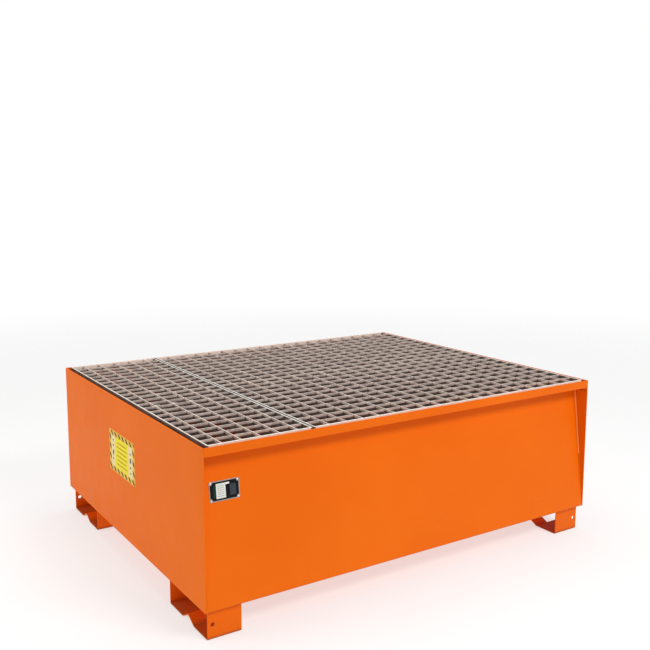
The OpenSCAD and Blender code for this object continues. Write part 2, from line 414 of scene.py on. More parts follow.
ORANGE = powder_coat(
    "orange_powder_coat", (0.84, 0.150, 0.003), (0.80, 0.134, 0.002), 0.08, 0.10)
# Painted light: the end plates get a slightly lighter, yellower copy of the orange coat.
ORANGE_LIT_ENDS = powder_coat(
    "orange_end_lit_coat", (0.84, 0.162, 0.003), (0.80, 0.145, 0.002), 0.06, 0.10, gloss=0.035)
# Painted shade: a darker copy of the orange coat for parts inside the trough, with more dust and
# scuffs.
ORANGE_SHADED_SUMP = powder_coat(
    "orange_sump_shaded_coat", (0.80, 0.135, 0.003), (0.72, 0.112, 0.003), 0.30, 0.25)
ORANGE_FOOT = powder_coat(
    "orange_foot_coat", (0.82, 0.138, 0.003), (0.76, 0.120, 0.002), 0.15, 0.45, sole_grime=0.75)
# Painted highlight: the lighter, yellower orange of the outer weld beads; their higher gloss is
# real.
ORANGE_HIGHLIT_WELD = powder_coat(
    "orange_weld_highlit_coat", (0.95, 0.260, 0.040), (0.88, 0.200, 0.015), 0.0, 0.0, gloss=0.5)
# Painted reflection: the bars' pinkish tone stands in for the orange trough reflected in them.
ZINC_BARS = galvanised(
    "zinc_bars", (0.84, 0.70, 0.63), (0.56, 0.455, 0.405), (0.72, 0.60, 0.53), 0.38,
    GRATING_TOP - 0.0052, GRATING_TOP - 0.0092, 0.97)
ZINC_SIDES = galvanised(
    "zinc_side_bands", (0.86, 0.81, 0.74), (0.72, 0.67, 0.60), (0.78, 0.72, 0.65), 0.35,
    GRATING_TOP - 0.0006, GRATING_TOP - 0.0024, 0.97)
# Painted highlight: the end bands' near-white cream tone.
ZINC_ENDS = galvanised(
    "zinc_end_bands", (0.97, 0.91, 0.81), (0.88, 0.81, 0.71), (0.92, 0.85, 0.76), 0.12,
    GRATING_TOP - 0.006, GRATING_TOP - 0.020, 0.55)
ZINC_BEAM = galvanised(
    "zinc_beam", (0.58, 0.54, 0.50), (0.44, 0.41, 0.38), (0.50, 0.46, 0.42), 0.45,
    LEDGE_Z - 0.010, LEDGE_Z - 0.060, 0.70)
ZINC_WELD = galvanised(
    "zinc_weld", (0.60, 0.56, 0.51), (0.44, 0.41, 0.37), (0.55, 0.51, 0.46), 0.40,
    GRATING_TOP - 0.004, GRATING_TOP - 0.010, 0.92)
NAMEPLATE_METAL = satin_aluminium("nameplate_aluminium", (0.36, 0.33, 0.31), (0.50, 0.46, 0.43))
RIVET_METAL = satin_aluminium("rivet_aluminium", (0.84, 0.83, 0.81), (0.93, 0.92, 0.90))
BLACK_PRINT = printed("black_print", (0.006, 0.006, 0.006), (0.012, 0.012, 0.013), 0.40)
GREEN_PRINT = printed("dark_green_print", (0.008, 0.035, 0.022), (0.014, 0.048, 0.032), 0.42)
PALE_PRINT = printed("pale_grey_print", (0.66, 0.72, 0.66), (0.74, 0.78, 0.72), 0.45)
SLATE_PRINT = printed("slate_print", (0.032, 0.042, 0.052), (0.058, 0.074, 0.090), 0.42)
WHITE_PRINT = printed("white_print", (0.86, 0.88, 0.86), (0.92, 0.92, 0.91), 0.42)
YELLOW_FILM = printed("yellow_film", (0.84, 0.52, 0.075), (0.88, 0.58, 0.10), 0.48)
YELLOW_PANEL = printed("bright_yellow_panel", (0.84, 0.72, 0.016), (0.88, 0.77, 0.030), 0.46)
OCHRE_PRINT = printed("ochre_print", (0.48, 0.27, 0.006), (0.54, 0.31, 0.008), 0.48)
CREAM_PANEL = printed("cream_panel", (0.82, 0.66, 0.34), (0.88, 0.74, 0.44), 0.48)
HATCH_PRINT = printed("hatch_print", (0.016, 0.011, 0.004), (0.028, 0.020, 0.008), 0.50)


# ---- mesh helpers

def made_object(name, mesh, material=None):
    made = bpy.data.objects.new(name, mesh)
    bpy.context.scene.collection.objects.link(made)
    if material is not None:
        mesh.materials.append(material)
    return made


def turn_outward(mesh):
    """Turns every face of a closed mesh outwards."""
    shell = bmesh.new()
    shell.from_mesh(mesh)
    bmesh.ops.recalc_face_normals(shell, faces=shell.faces)
    shell.to_mesh(mesh)
    shell.free()


def mesh_from(name, points, faces, material=None, outward=True):
    """A new object from points and faces, with its faces turned outwards."""
    mesh = bpy.data.meshes.new(name)
    mesh.from_pydata([tuple(p) for p in points], [], faces)
    if outward:
        turn_outward(mesh)
    mesh.update()
    return made_object(name, mesh, material)


def ring_faces(count, rings=2):
    """Quads between neighbouring rings that have count points each."""
    return [(start + i, start + (i + 1) % count, start + count + (i + 1) % count, start + count + i)
            for start in range(0, (rings - 1) * count, count) for i in range(count)]


def capped_faces(count, rings=2):
    """Quads between rings, and one face over each end."""
    last = (rings - 1) * count
    return [tuple(range(count)), tuple(range(last, last + count))] + ring_faces(count, rings)


def bent_line(corners, radius, steps=6):
    """A 2-D line through corners with each bend rounded to the radius of its middle line."""
    corners = [Vector(c) for c in corners]
    line = [corners[0]]
    for before, corner, after in zip(corners, corners[1:], corners[2:]):
        arriving = (corner - before).normalized()
        leaving = (after - corner).normalized()
        turn = math.atan2(arriving.cross(leaving), arriving.dot(leaving))
        side = 1 if turn > 0 else -1
        start = corner - arriving * radius * math.tan(abs(turn) / 2)
        centre = start + Vector((-arriving.y, arriving.x)) * radius * side
        spoke = start - centre
        for step in range(steps + 1):
            cos, sin = math.cos(turn * step / steps), math.sin(turn * step / steps)
            line.append(centre + Vector((spoke.x * cos - spoke.y * sin,
                                         spoke.x * sin + spoke.y * cos)))
    return line + [corners[-1]]


def add_even_shading(made):
    """Smooth shading with flat faces kept flat and hard edges kept sharp."""
    for polygon in made.data.polygons:
        polygon.use_smooth = True
    weighted = made.modifiers.new("even_shading", "WEIGHTED_NORMAL")
    weighted.keep_sharp = True
    weighted.weight = 50


def soften(made, width, segments=2):
    """Rounds the edges of a piece a little and evens out its shading."""
    bevel = made.modifiers.new("edge_rounding", "BEVEL")
    bevel.width = width
    bevel.segments = segments
    bevel.limit_method = "ANGLE"
    bevel.angle_limit = math.radians(38)
    add_even_shading(made)


def baked(made):
    """Applies every modifier, leaving a plain mesh on the same object."""
    graph = bpy.context.evaluated_depsgraph_get()
    graph.update()
    mesh = bpy.data.meshes.new_from_object(made.evaluated_get(graph), depsgraph=graph)
    mesh.name = made.name
    made.modifiers.clear()
    made.data = mesh
    return made


def folded_sheet(name, line, widths, gauge, material, missing=()):
    """A sheet that follows a [y, z] line and spans the given X positions. missing lists the cells,
    as (first line point, last line point, width cell), that are cut away."""
    points = [(x, p[0], p[1]) for p in line for x in widths]
    columns = len(widths)
    faces = []
    for row in range(len(line) - 1):
        for column in range(columns - 1):
            if any(low <= row < high and column == cell for low, high, cell in missing):
                continue
            corner = row * columns + column
            faces.append((corner, corner + 1, corner + columns + 1, corner + columns))
    made = mesh_from(name, points, faces, material, outward=False)
    shell = bmesh.new()
    shell.from_mesh(made.data)
    bmesh.ops.delete(shell, geom=[v for v in shell.verts if not v.link_faces], context="VERTS")
    shell.to_mesh(made.data)
    shell.free()
    wall = made.modifiers.new("sheet_gauge", "SOLIDIFY")
    wall.thickness = gauge
    wall.offset = 0.0
    wall.use_even_offset = True
    turn_outward(baked(made).data)
    return made


def prism(name, outline, low, high, material=None, plane="XY"):
    """A closed prism: an outline in the XY, YZ or XZ plane, drawn from low to high across it."""
    spot = {"YZ": lambda u, v, w: (w, u, v), "XZ": lambda u, v, w: (u, w, v),
            "XY": lambda u, v, w: (u, v, w)}[plane]
    points = [spot(u, v, w) for w in (low, high) for u, v in outline]
    return mesh_from(name, points, capped_faces(len(outline)), material)


def circle(radius, sides):
    return [(radius * math.cos(2 * math.pi * i / sides), radius * math.sin(2 * math.pi * i / sides))
            for i in range(sides)]


def rounded_outline(width, height, radius, steps=5, centre=(0.0, 0.0)):
    """Outline of a rectangle with rounded corners."""
    outline = []
    for side_x, side_y, first in ((1, 1, 0), (-1, 1, 90), (-1, -1, 180), (1, -1, 270)):
        for step in range(steps + 1):
            angle = math.radians(first + 90 * step / steps)
            outline.append((
                centre[0] + side_x * (width / 2 - radius) + radius * math.cos(angle),
                centre[1] + side_y * (height / 2 - radius) + radius * math.sin(angle)))
    return outline


def block(name, low, high, material, bevel, segments=2):
    """A flat bar or plate between two corners, with rounded edges."""
    outline = [(low[1], low[2]), (high[1], low[2]), (high[1], high[2]), (low[1], high[2])]
    made = prism(name, outline, low[0], high[0], material, "YZ")
    soften(made, bevel, segments)
    return made


def drilled(made, centre, radius, length):
    """Cuts a round hole along Y through the piece."""
    cutter = prism("hole_cutter", circle(radius, 40), -length / 2, length / 2)
    cutter.data.transform(Matrix.Translation(centre) @ Matrix.Rotation(math.pi / 2, 4, "X"))
    cut = made.modifiers.new("hole", "BOOLEAN")
    cut.operation = "DIFFERENCE"
    cut.solver = "EXACT"
    cut.object = cutter
    baked(made)
    bpy.data.objects.remove(cutter)


def joined(name, pieces, material=None):
    """Bakes pieces and joins them in one plain mesh."""
    shell = bmesh.new()
    slots = []
    for piece in pieces:
        baked(piece)
        start = len(shell.faces)
        shell.from_mesh(piece.data)
        shell.faces.ensure_lookup_table()
        own = piece.data.materials[0] if piece.data.materials else material
        if own not in slots:
            slots.append(own)
        for face in shell.faces[start:]:
            face.material_index = slots.index(own)
        bpy.data.objects.remove(piece)
    mesh = bpy.data.meshes.new(name)
    shell.to_mesh(mesh)
    shell.free()
    for own in slots:
        mesh.materials.append(own)
    return made_object(name, mesh)


def finished(made, body, slot_name, *nodes):
    """Puts a piece on its body and hides the CAD nodes it stands for; its slot name is not used."""
    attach(made, body)
    if nodes:
        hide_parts(*nodes)


# ---- geometry node trees

SOCKET_KINDS = {int: "NodeSocketInt", float: "NodeSocketFloat", tuple: "NodeSocketVector"}


def new_geometry_tree(name, values):
    """A geometry node tree with a mesh, named values and a material in, and a mesh out."""
    tree = bpy.data.node_groups.new(name, "GeometryNodeTree")
    tree.interface.new_socket("Geometry", in_out="INPUT", socket_type="NodeSocketGeometry")
    for socket_name, value in values.items():
        tree.interface.new_socket(socket_name, in_out="INPUT",
                                  socket_type=SOCKET_KINDS[type(value)]).default_value = value
    tree.interface.new_socket("Material", in_out="INPUT", socket_type="NodeSocketMaterial")
    tree.interface.new_socket("Geometry", in_out="OUTPUT", socket_type="NodeSocketGeometry")
    return tree, node(tree, "NodeGroupInput").outputs, node(tree, "NodeGroupOutput").inputs


def end_tree(tree, given, result, geometry):
    """Ends a tree with real geometry in the given material."""
    real = node(tree, "GeometryNodeRealizeInstances", {"Geometry": geometry})
    painted = node(tree, "GeometryNodeSetMaterial", {
        "Geometry": real.outputs["Geometry"], "Material": given["Material"]})
    feed(tree, result, {"Geometry": painted.outputs["Geometry"]})
    return tree


def rows_tree():
    """Repeats the piece in a row, and that row again in steps, as one mesh."""
    tree, given, result = new_geometry_tree("repeated_pieces", {
        "Count": 2, "Step": (0.01, 0.0, 0.0), "Rows": 1, "Row Step": (0.0, 0.01, 0.0)})
    row, stack = (
        node(tree, "GeometryNodeMeshLine", {"Count": given[count], "Offset": given[step]},
             mode="OFFSET").outputs["Mesh"]
        for count, step in (("Count", "Step"), ("Rows", "Row Step")))
    grid = node(tree, "GeometryNodeInstanceOnPoints", {"Points": stack, "Instance": row})
    spots = node(tree, "GeometryNodeRealizeInstances", {"Geometry": grid.outputs["Instances"]})
    copies = node(tree, "GeometryNodeInstanceOnPoints", {
        "Points": spots.outputs["Geometry"], "Instance": given["Geometry"]})
    return end_tree(tree, given, result, copies.outputs["Instances"])


def weld_tree():
    """Turns the edges of a mesh into rippled, slightly lumpy weld beads."""
    tree, given, result = new_geometry_tree("weld_beads", {
        "Bead Radius": 0.004, "Ripple Spacing": 0.004, "Ripple Depth": 0.10,
        "Lump Spacing": 0.033, "Lump Depth": 0.0, "Seed": 3})
    path = node(tree, "GeometryNodeMeshToCurve", {"Mesh": given["Geometry"]})
    spaced = node(tree, "GeometryNodeResampleCurve", mode="LENGTH")
    feed(tree, spaced.inputs, {
        "Curve": path.outputs["Curve"], "Length": product(tree, given["Ripple Spacing"], 0.25)})
    turn = product(tree, node(tree, "GeometryNodeInputIndex").outputs[0], math.pi / 2)
    ripple = maths(tree, "MULTIPLY_ADD", maths(tree, "SINE", turn), given["Ripple Depth"], 1.0)
    share = maths(tree, "DIVIDE", given["Ripple Spacing"], given["Lump Spacing"])
    slow = maths(tree, "SINE", product(tree, turn, share))
    lump = maths(tree, "MULTIPLY_ADD", slow, given["Lump Depth"], ripple)
    uneven = node(tree, "FunctionNodeRandomValue", {"Seed": given["Seed"]}, data_type="FLOAT")
    feed(tree, [s for s in uneven.inputs if s.type == "VALUE" and s.enabled], {0: 0.88, 1: 1.10})
    chance = [s for s in uneven.outputs if s.type == "VALUE"][0]
    sized = node(tree, "GeometryNodeSetCurveRadius", {
        "Curve": spaced.outputs["Curve"], "Radius": product(tree, lump, chance)})
    ring = node(tree, "GeometryNodeCurvePrimitiveCircle", {
        "Resolution": 10, "Radius": given["Bead Radius"]})
    swept = node(tree, "GeometryNodeCurveToMesh", {
        "Curve": sized.outputs["Curve"], "Profile Curve": ring.outputs["Curve"],
        "Fill Caps": True})
    smooth = node(tree, "GeometryNodeSetShadeSmooth", {"Geometry": swept.outputs["Mesh"]})
    return end_tree(tree, given, result, smooth.outputs["Geometry"])


def apply_tree(made, tree, **values):
    """Runs a geometry node tree on a piece with the given inputs and keeps the plain mesh."""
    modifier = made.modifiers.new(tree.name, "NODES")
    modifier.node_group = tree
    identifiers = {s.name: s.identifier for s in tree.interface.items_tree if s.in_out == "INPUT"}
    for name, value in values.items():
        modifier[identifiers[name.replace("_", " ").title()]] = value
    baked(made)
    made.data.materials.clear()
    made.data.materials.append(values["material"])
    return made


ROWS = rows_tree()
WELDS = weld_tree()


def weld_seams(name, seams, radius, spacing, seed, material, lumps=0.0, stands_for=()):
    """One piece of the tank: weld beads along straight seams, each given by its two ends."""
    mesh = bpy.data.meshes.new(name)
    points = [tuple(p) for seam in seams for p in seam]
    mesh.from_pydata(points, [(2 * i, 2 * i + 1) for i in range(len(seams))], [])
    made = apply_tree(made_object(name, mesh, material), WELDS, bead_radius=radius,
                      ripple_spacing=spacing, lump_depth=lumps, seed=seed, material=material)
    finished(made, "tank", "orange_coating", *stands_for)


# ---- trough

def wall_setback(z):
    """Distance of the front wall's outer face behind the front edge at height z."""
    return LEDGE_WIDTH * (z - FLOOR_Z) / WALL_RISE


def trough_corners():
    """Corners of the middle line of the trough's folded sheet, from the front to the back rim."""
    half = SHEET / 2
    wall_shift = half / math.cos(WALL_ANGLE)
    ledge_middle = RIM_Z - LIP_HEIGHT + half
    floor_middle = FLOOR_Z + half
    front = [
        (-HALF_DEPTH + half, RIM_Z),
        (-HALF_DEPTH + half, ledge_middle),
        (-HALF_DEPTH + wall_setback(ledge_middle) + wall_shift, ledge_middle),
        (-HALF_DEPTH + wall_setback(floor_middle) + wall_shift, floor_middle),
    ]
    return front + [(-y, z) for y, z in reversed(front)]


def make_trough():
    line = bent_line(trough_corners(), SHEET_BEND)
    made = folded_sheet("folded_trough", line, [-INNER_HALF, INNER_HALF], SHEET, ORANGE)
    soften(made, 0.0008)
    finished(made, "tank", "orange_coating", "trough")


def make_end_plate(name, cad_node):
    low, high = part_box(cad_node)
    made = block(name, low, high, ORANGE_LIT_ENDS, 0.0012, 3)
    finished(made, "tank", "orange_coating", cad_node)


def make_tank_welds():
    """Beads outside and inside where the walls, ledges and floor meet the end plates. Outside,
    the bead is thick and lumpy up from start_z and thin below it."""
    foot_z = FLOOR_Z + 0.055
    start_z = FLOOR_Z + 0.210
    top_z = RIM_Z - LIP_HEIGHT - 0.003
    inner_foot_z = FLOOR_Z + 0.01
    inside = SHEET / math.cos(WALL_ANGLE)
    outer, lower, inner = [], [], []
    for end in (-1, 1):
        x = end * (INNER_HALF - 0.0040)
        lower_x = end * (INNER_HALF - 0.0010)
        for face in (-1, 1):
            outer.append([(x, face * (HALF_DEPTH - wall_setback(z) + 0.0014), z)
                          for z in (start_z, top_z)])
            lower.append([(lower_x, face * (HALF_DEPTH - wall_setback(z) + 0.0004), z)
                          for z in (foot_z, start_z)])
            inner.append([
                (x, face * (HALF_DEPTH - wall_setback(inner_foot_z) - inside), inner_foot_z),
                (x, face * (HALF_DEPTH - LEDGE_WIDTH - inside), LEDGE_Z - 0.008)])
        inner.append([(x, y, FLOOR_Z + SHEET) for y in (-HALF_DEPTH + 0.012, HALF_DEPTH - 0.012)])
    weld_seams("outer_seam_welds", outer, OUTER_BEAD, 0.0045, 11, ORANGE_HIGHLIT_WELD, 0.26,
               ["corner_welds"])
    weld_seams("lower_seam_welds", lower, LOWER_BEAD, 0.0040, 17, ORANGE)
    weld_seams("inner_seam_welds", inner, INNER_BEAD, 0.0045, 23, ORANGE_SHADED_SUMP, 0.10)


def make_ledge_fillets():
    """Hollow weld fillets in the corners between the ledges and the end plates, ground flush."""
    under = RIM_Z - LIP_HEIGHT
    pieces = []
    for end in (-1, 1):
        outline = [(end * INNER_HALF, under)]
        for step in range(7):
            angle = math.pi / 2 * step / 6
            outline.append((end * (INNER_HALF - FILLET_RADIUS * (1 - math.cos(angle))),
                            under - FILLET_RADIUS * (1 - math.sin(angle))))
        for face in (-1, 1):
            pieces.append(prism(f"ledge_fillet_{end}_{face}", outline,
                                face * (HALF_DEPTH - 0.0008),
                                face * (HALF_DEPTH - LEDGE_WIDTH + 0.001), ORANGE, "XZ"))
    made = joined("ledge_corner_fillets", pieces)
    add_even_shading(made)
    finished(made, "tank", "orange_coating")


# ---- feet and support beam

FEET = (  # corner, side and face of the outer flange's hole
    ("front_left", -1, -1), ("front_right", 1, -1), ("rear_left", -1, 1), ("rear_right", 1, 1),
)


def make_foot(corner, outer_side, outer_face):
    """A folded foot: two flanges, the outer one with a hole, two soles and the raised bridge
    along its left edge."""
    low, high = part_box(f"foot_{corner}")
    half = STRIP / 2
    peak = (low.y + high.y) / 2
    front_end = low.y + SOLE_LENGTH
    rear_end = high.y - SOLE_LENGTH
    line = bent_line([
        (low.y + half, high.z), (low.y + half, half), (front_end, half),
        (peak, BRIDGE_RISE - half),
        (rear_end, half), (high.y - half, half), (high.y - half, high.z),
    ], STRIP_BEND)
    rows = [i for i, p in enumerate(line) if front_end - 0.003 < p.x < rear_end + 0.003]
    made = folded_sheet(f"{corner}_foot", line, [low.x, low.x + BRIDGE_WIDTH, high.x], STRIP,
                        ORANGE_FOOT, [(rows[0], rows[-1], 1)])
    hole_x = low.x + FLANGE_HOLE_EDGE if outer_side < 0 else high.x - FLANGE_HOLE_EDGE
    hole_y = low.y + half if outer_face < 0 else high.y - half
    drilled(made, (hole_x, hole_y, FLANGE_HOLE_HEIGHT), FLANGE_HOLE_RADIUS, 0.02)
    soften(made, 0.0009)
    finished(made, "tank", "orange_coating", f"foot_{corner}")


def make_foot_welds():
    """Beads along the top of each flange, under the trough floor."""
    seams = []
    for corner, *_ in FEET:
        low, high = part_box(f"foot_{corner}")
        for y in (low.y, low.y + STRIP, high.y - STRIP, high.y):
            seams.append([(x, y, high.z - 0.0004) for x in (low.x + 0.006, high.x - 0.006)])
    weld_seams("foot_welds", seams, FOOT_BEAD, 0.0040, 31, ORANGE_FOOT)


def make_channel(name, cad_node, opens_up, bend, steps, material, slot_name):
    """A folded channel along X, open upwards or downwards."""
    low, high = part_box(cad_node)
    half = CHANNEL_WALL / 2
    front, back = low.y + half, high.y - half
    open_z, web_z = (high.z, low.z + half) if opens_up else (low.z, high.z - half)
    corners = [(front, open_z), (front, web_z), (back, web_z), (back, open_z)]
    made = folded_sheet(name, bent_line(corners, bend, steps), [low.x, high.x], CHANNEL_WALL,
                        material)
    soften(made, 0.0007)
    finished(made, "tank", slot_name, cad_node)


# ---- gratings

def notched_outline(low, high):
    """Outline of a bearing bar in [y, z], with a notch in its top for each cross bar."""
    notch_floor = high.z - CROSS_HEIGHT
    half = CROSS_THICKNESS / 2
    outline = [(high.y, low.z), (high.y, high.z)]
    for i in reversed(range(CROSS_COUNT)):
        middle = -HALF_DEPTH + CROSS_START + i * CROSS_PITCH
        outline += [(middle + half, high.z), (middle + half, notch_floor),
                    (middle - half, notch_floor), (middle - half, high.z)]
    return outline + [(low.y, high.z), (low.y, low.z)]


def weld_drop(name, radius, height, place, sides=8, rings=5):
    """A small closed lump of weld centred on place, round in plan and standing on end."""
    points = []
    for ring in range(1, rings):
        angle = math.pi * ring / rings
        points += [(x, y, -height / 2 * math.cos(angle))
                   for x, y in circle(radius * math.sin(angle), sides)]
    top_ring = len(points) - sides
    faces = ring_faces(sides, rings - 1)
    for i in range(sides):
        after = (i + 1) % sides
        faces += [(len(points), after, i), (top_ring + i, top_ring + after, len(points) + 1)]
    points += [(0, 0, -height / 2), (0, 0, height / 2)]
    made = mesh_from(name, points, faces)
    for polygon in made.data.polygons:
        polygon.use_smooth = True
    made.data.transform(Matrix.Translation(place))
    return made


def make_grating(size, bar_count):
    """One lift-out grating: notched bearing bars, cross bars pressed into them, edge bands and
    welds."""
    def repeat(made, material, count, step, rows=1, row_step=(0.0, 0.0, 0.0), stands_for=()):
        """Repeats a piece in a row of count, and that row again, as one piece of the grating."""
        apply_tree(baked(made), ROWS, count=count, step=step, rows=rows, row_step=row_step,
                   material=material)
        finished(made, f"{size}_grating", "galvanised_steel", *stands_for)

    bar_nodes, cross_nodes, side_nodes, end_nodes = (
        [f"{size}_{part}"] for part in ("bearing_bars", "cross_bars", "side_bands", "end_bands"))

    bars_low, bars_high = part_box(*bar_nodes)
    bar = prism(f"{size}_bearing_bar_row", notched_outline(bars_low, bars_high), bars_low.x,
                bars_low.x + BAR_THICKNESS, ZINC_BARS, "YZ")
    soften(bar, 0.00045)
    repeat(bar, ZINC_BARS, bar_count, (BAR_PITCH, 0.0, 0.0), stands_for=bar_nodes)

    cross_low, cross_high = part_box(*cross_nodes)
    corner = (cross_high.x, cross_low.y + CROSS_THICKNESS, cross_high.z)
    cross = block(f"{size}_cross_bar_row", cross_low, corner, ZINC_BARS, 0.0004)
    repeat(cross, ZINC_BARS, CROSS_COUNT, (0.0, CROSS_PITCH, 0.0), stands_for=cross_nodes)

    side_low, side_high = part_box(*side_nodes)
    corner = (side_low.x + BAND, side_high.y, side_high.z)
    band = block(f"{size}_side_band_pair", side_low, corner, ZINC_SIDES, 0.0007)
    repeat(band, ZINC_SIDES, 2, (side_high.x - side_low.x - BAND, 0.0, 0.0),
           stands_for=side_nodes)

    end_low, end_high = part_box(*end_nodes)
    corner = (end_high.x, end_low.y + BAND, end_high.z)
    band = block(f"{size}_end_band_pair", end_low, corner, ZINC_ENDS, 0.0007)
    repeat(band, ZINC_ENDS, 2, (0.0, end_high.y - end_low.y - BAND, 0.0), stands_for=end_nodes)

    middle_z = (side_low.z + side_high.z) / 2
    drops = [
        weld_drop("left_drop", 0.0022, 0.020, (bars_low.x, bars_low.y, middle_z)),
        weld_drop("right_drop", 0.0022, 0.018,
                  (bars_low.x + BAR_THICKNESS, bars_low.y, middle_z - 0.001)),
    ]
    repeat(joined(f"{size}_bar_end_welds", drops, ZINC_WELD), ZINC_WELD, bar_count,
           (BAR_PITCH, 0.0, 0.0), 2, (0.0, bars_high.y - bars_low.y, 0.0))

    place = (cross_low.x, cross_low.y, (cross_low.z + cross_high.z) / 2)
    drop = weld_drop(f"{size}_cross_end_welds", 0.0018, 0.0085, place)
    repeat(drop, ZINC_WELD, 2, (cross_high.x - cross_low.x, 0.0, 0.0), CROSS_COUNT,
           (0.0, CROSS_PITCH, 0.0))


# ---- nameplate

def notched_field(width, height, notch):
    """Outline of a rectangle whose corners are cut by quarter circles, clear of the rivets."""
    outline = []
    for side_x, side_y, first in ((1, 1, 270), (-1, 1, 0), (-1, -1, 90), (1, -1, 180)):
        for step in range(6):
            angle = math.radians(first - 90 * step / 5)
            outline.append((side_x * width / 2 + notch * math.cos(angle),
                            side_y * height / 2 + notch * math.sin(angle)))
    return outline


def domed_rivet(name, radius, height, sides=20, rings=5):
    """A low domed head with a small dimple left by the drawn pin, closed underneath."""
    profile = [(radius * math.cos(math.pi / 2 * i / rings),
                height * math.sin(math.pi / 2 * i / rings)) for i in range(rings)]
    profile += [(radius * 0.22, height), (radius * 0.18, height * 0.72)]
    points = [(x, y, z) for r, z in profile for x, y in circle(r, sides)]
    made = mesh_from(name, points, capped_faces(sides, len(profile)))
    for polygon in made.data.polygons:
        polygon.use_smooth = len(polygon.vertices) == 4
    return made


def make_nameplate():
    """Satin plate with domed rivets and blank printed blocks, lying flat on the leaning wall."""
    low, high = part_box("nameplate")
    centre_x = (low.x + high.x) / 2
    centre_z = (low.z + high.z) / 2 - NAMEPLATE_SHEET / 2 * math.sin(WALL_ANGLE)
    place = (Matrix.Translation((centre_x, -HALF_DEPTH + wall_setback(centre_z), centre_z))
             @ Matrix.Rotation(math.pi / 2 - WALL_ANGLE, 4, "X"))
    plate = prism("nameplate_plate", rounded_outline(NAMEPLATE_WIDTH, NAMEPLATE_HEIGHT, 0.004),
                  0.0, NAMEPLATE_SHEET, NAMEPLATE_METAL)
    soften(plate, 0.0003)
    baked(plate)
    plate.data.transform(place)
    finished(plate, "tank", "nameplate_sheet", "nameplate")

    field = notched_field(NAMEPLATE_WIDTH - 0.006, NAMEPLATE_HEIGHT - 0.006, 0.0082)
    blocks = [prism("field", field, 0.0009, 0.00115, BLACK_PRINT)]
    for name, width, height, radius, steps, centre, ink in (
        ("strip", 0.0085, 0.038, 0.0008, 3, (-0.0335, 0.0), GREEN_PRINT),
        ("panel", 0.032, 0.0455, 0.0008, 3, (-0.0120, 0.0), PALE_PRINT),
        ("bar", 0.013, 0.0055, 0.0006, 3, (0.0106, 0.0200), WHITE_PRINT),
        ("badge", 0.0205, 0.034, 0.0025, 4, (0.0285, -0.0015), SLATE_PRINT),
    ):
        outline = rounded_outline(width, height, radius, steps, centre)
        blocks.append(prism(name, outline, 0.0011, 0.00125, ink))
    for row in range(6):
        outline = rounded_outline(0.021, 0.0008, 0.0003, 2, (-0.0125, 0.0150 - 0.0062 * row))
        blocks.append(prism(f"rule_{row}", outline, 0.00124, 0.00132, SLATE_PRINT))
    print_layer = joined("nameplate_print", blocks)
    print_layer.data.transform(place)
    finished(print_layer, "tank", "nameplate_sheet")

    rivet = domed_rivet("nameplate_rivet_heads", 0.0030, 0.0015)
    rivet.data.transform(Matrix.Translation(
        (-RIVET_SPREAD_X / 2, -RIVET_SPREAD_Y / 2, NAMEPLATE_SHEET)))
    apply_tree(rivet, ROWS, count=2, step=(RIVET_SPREAD_X, 0.0, 0.0), rows=2,
               row_step=(0.0, RIVET_SPREAD_Y, 0.0), material=RIVET_METAL)
    rivet.data.transform(place)
    finished(rivet, "tank", "rivet_metal", "nameplate_rivets")


# ---- placard

def clipped(polygon, low, high):
    """A convex polygon cut to the rectangle between two corners."""
    for axis, limit, sign in ((0, low[0], 1), (0, high[0], -1), (1, low[1], 1), (1, high[1], -1)):
        kept = []
        for i, point in enumerate(polygon):
            after = polygon[(i + 1) % len(polygon)]
            here_in = sign * (point[axis] - limit) >= 0
            after_in = sign * (after[axis] - limit) >= 0
            if here_in:
                kept.append(point)
            if here_in != after_in:
                share = (limit - point[axis]) / (after[axis] - point[axis])
                kept.append((point[0] + share * (after[0] - point[0]),
                             point[1] + share * (after[1] - point[1])))
        polygon = kept
        if len(polygon) < 3:
            return []
    return polygon


def rectangle(left, bottom, right, top):
    return [(left, bottom), (right, bottom), (right, top), (left, top)]


def hatch_stripes(width, edge_x, edge_y, inner_x, inner_y):
    """Slanted stripes cut to the four sides of the placard's border."""
    frames = [((-edge_x, inner_y), (edge_x, edge_y)), ((-edge_x, -edge_y), (edge_x, -inner_y)),
              ((-edge_x, -inner_y), (-inner_x, inner_y)), ((inner_x, -inner_y), (edge_x, inner_y))]
    stripes = []
    for i in range(-8, 9):
        left, right = i * STRIPE_PITCH - width, i * STRIPE_PITCH + width
        slant = [(left, width), (right, -width),
                 (right + STRIPE_WIDTH, -width), (left + STRIPE_WIDTH, width)]
        for j, (corner, opposite) in enumerate(frames):
            outline = clipped(slant, corner, opposite)
            if outline:
                stripes.append(prism(f"hatch_{i}_{j}", outline, 0.0003, 0.00042,
                                           HATCH_PRINT))
    return stripes


